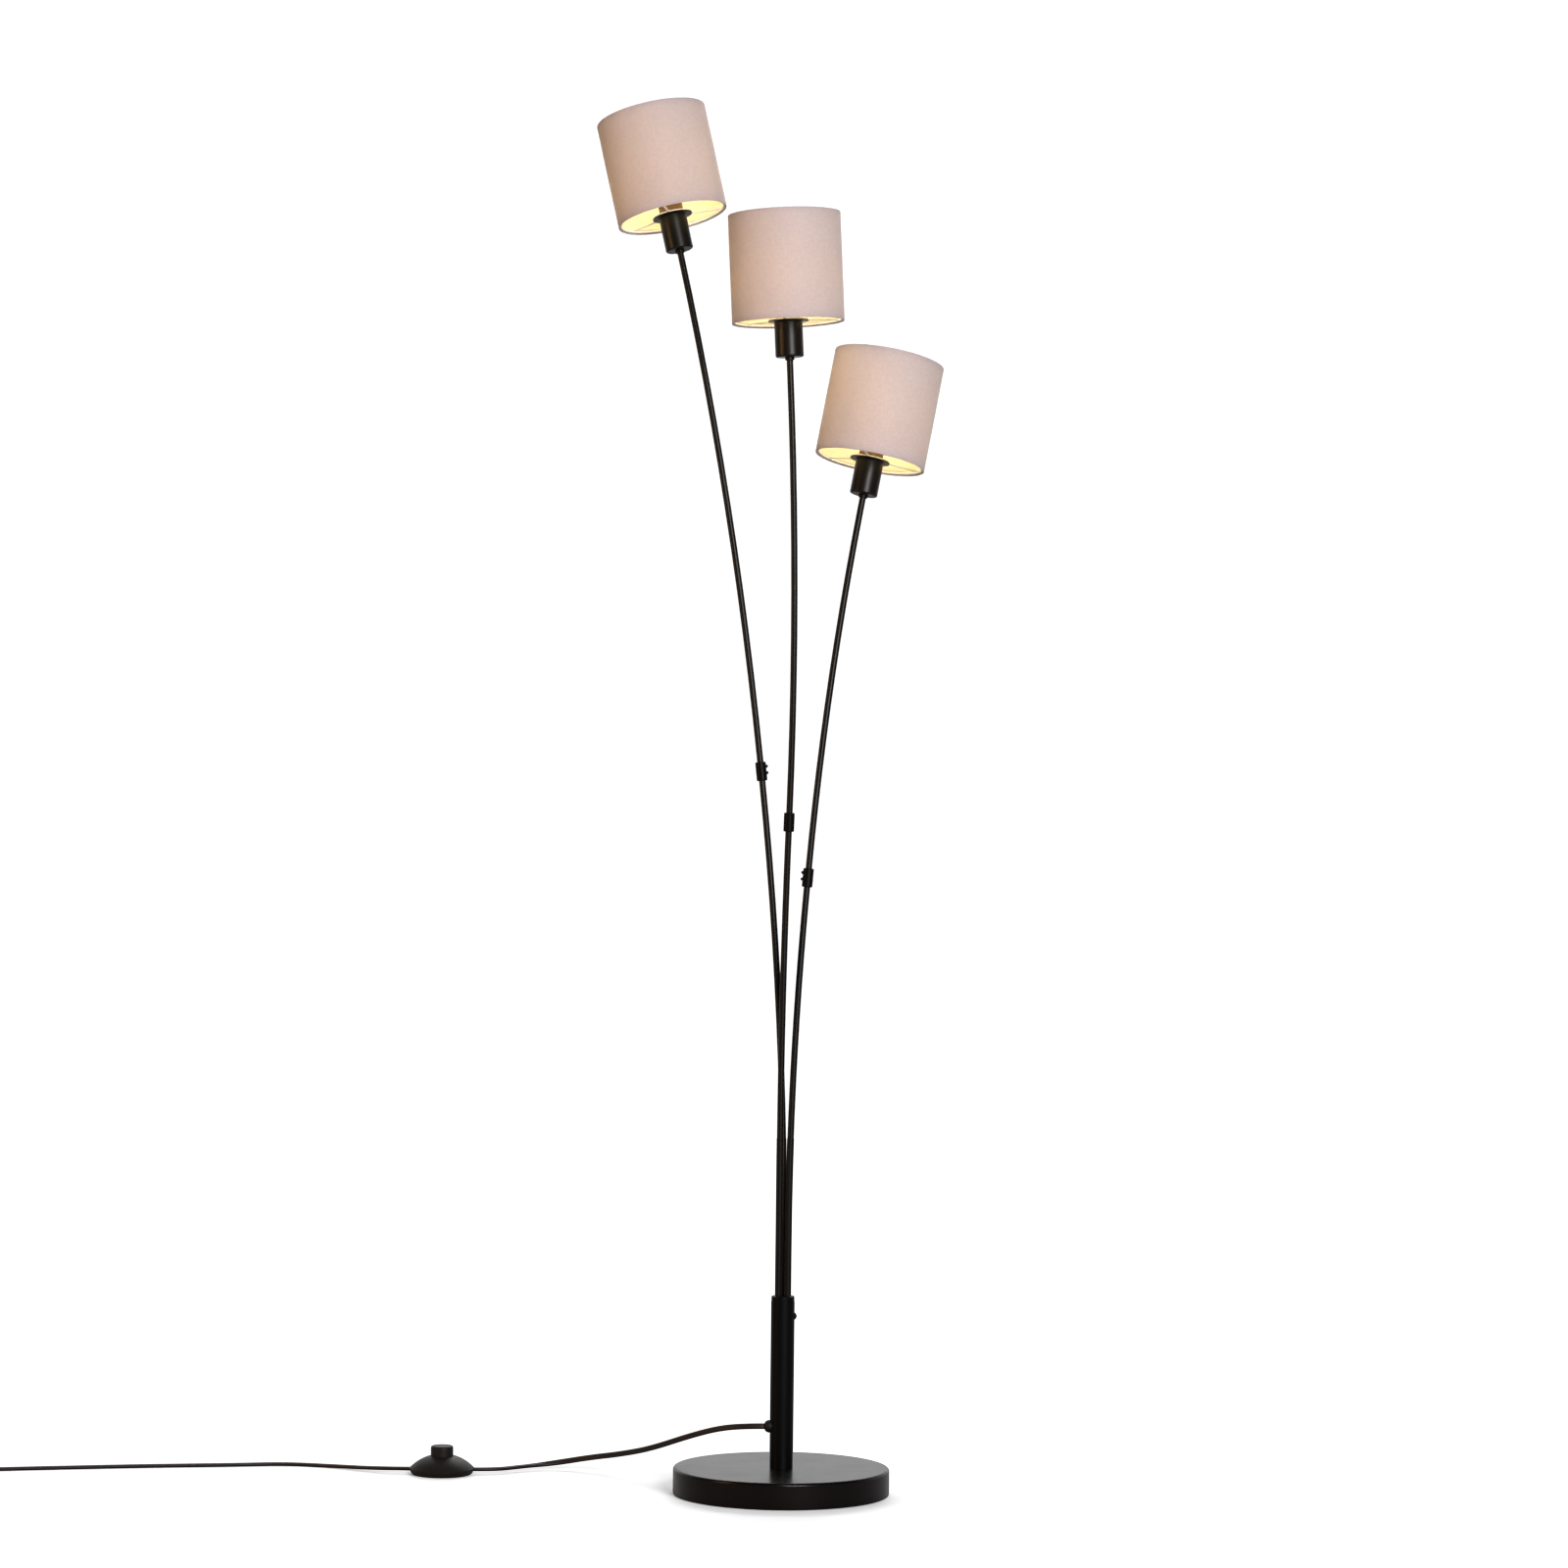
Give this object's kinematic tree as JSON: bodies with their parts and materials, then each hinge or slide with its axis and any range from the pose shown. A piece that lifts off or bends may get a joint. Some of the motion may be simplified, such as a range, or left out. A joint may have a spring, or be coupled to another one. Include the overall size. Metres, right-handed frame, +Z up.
{
  "type": "tree floor lamp",
  "caption": "Floor lamp with a round base, bent rods that spread from a short pole, fabric drum shades on metal holders, and a foot switch on the cord.",
  "frame": {"origin": "on the floor at the centre of the round base's underside", "axes": "+Z up, +X to the right of the picture's viewer, +Y away from that viewer"},
  "size_m": [1.1523, 0.2763, 1.4921],
  "materials": {
    "black_powder": "satin black powder coat",
    "cast": "as cast",
    "felt": "black felt",
    "steel": "zinc plated",
    "black_plastic": "fine matt",
    "white_plastic": "smooth",
    "black_rubber": "smooth",
    "wire_white": "white coat",
    "shade_fabric": "fine plain weave, warm grey",
    "opal_glass": "opal",
    "nickel": "nickel plated"
  },
  "bodies": {
    "stand": {"base_cover": "black_powder", "base_weight": "cast", "base_pad": "felt", "base_nipple": "steel", "base_nut": "steel", "pole": "black_powder", "pole_foot_bush": "steel", "pole_top_plug": "black_powder", "pole_screw": "black_powder", "cord_gland": "black_plastic", "terminal_block": "white_plastic", "inner_cord": "black_rubber", "lower_wires": "black_rubber", "lower_rod_left": "black_powder", "lower_rod_middle": "black_powder", "lower_rod_right": "black_powder", "connector_left": "black_powder", "connector_middle": "black_powder", "connector_right": "black_powder", "connector_screws": "black_powder", "switch_base": "black_plastic", "switch_cover": "black_plastic", "switch_spring": "steel", "cord_lead": "black_rubber", "cord_tail": "black_rubber", "cord_coil": "black_rubber", "plug_body": "black_rubber", "plug_pins": "nickel"},
    "switch_button": {"switch_button": "black_plastic"},
    "left_lamp": {"upper_rod_left": "black_powder", "rod_nut_left": "black_powder", "holder_cup_left": "black_powder", "lamp_holder_left": "black_plastic", "holder_collar_left": "black_plastic", "shade_frame_left": "wire_white", "shade_ring_left": "wire_white", "shade_drum_left": "shade_fabric", "bulb_left": "opal_glass", "lamp_wire_left": "black_rubber"},
    "middle_lamp": {"upper_rod_middle": "black_powder", "rod_nut_middle": "black_powder", "holder_cup_middle": "black_powder", "lamp_holder_middle": "black_plastic", "holder_collar_middle": "black_plastic", "shade_frame_middle": "wire_white", "shade_ring_middle": "wire_white", "shade_drum_middle": "shade_fabric", "bulb_middle": "opal_glass", "lamp_wire_middle": "black_rubber"},
    "right_lamp": {"upper_rod_right": "black_powder", "rod_nut_right": "black_powder", "holder_cup_right": "black_powder", "lamp_holder_right": "black_plastic", "holder_collar_right": "black_plastic", "shade_frame_right": "wire_white", "shade_ring_right": "wire_white", "shade_drum_right": "shade_fabric", "bulb_right": "opal_glass", "lamp_wire_right": "black_rubber"}
  },
  "joints": [
    {"name": "switch_press", "type": "slide", "parent": "stand", "child": "switch_button", "axis": [0, 0, -1], "range_m": [0, 0.004], "stiffness_N_per_m": 900, "springref_m": -0.002, "deforming": ["switch_spring"]},
    {"name": "left_rod_turn", "type": "hinge", "parent": "stand", "child": "left_lamp", "pos_m": [-0.02928, 0.01648, 0.77026], "axis": [-0.1094, 0.0405, 0.9932], "range_deg": [-60, 60]},
    {"name": "middle_rod_turn", "type": "hinge", "parent": "stand", "child": "middle_lamp", "pos_m": [0.00095, -0.01414, 0.71569], "axis": [0.032, -0.062, 0.9976], "range_deg": [-60, 60]},
    {"name": "right_rod_turn", "type": "hinge", "parent": "stand", "child": "right_lamp", "pos_m": [0.02171, 0.00797, 0.65702], "axis": [0.0836, 0.0537, 0.9951], "range_deg": [-60, 60]}
  ]
}
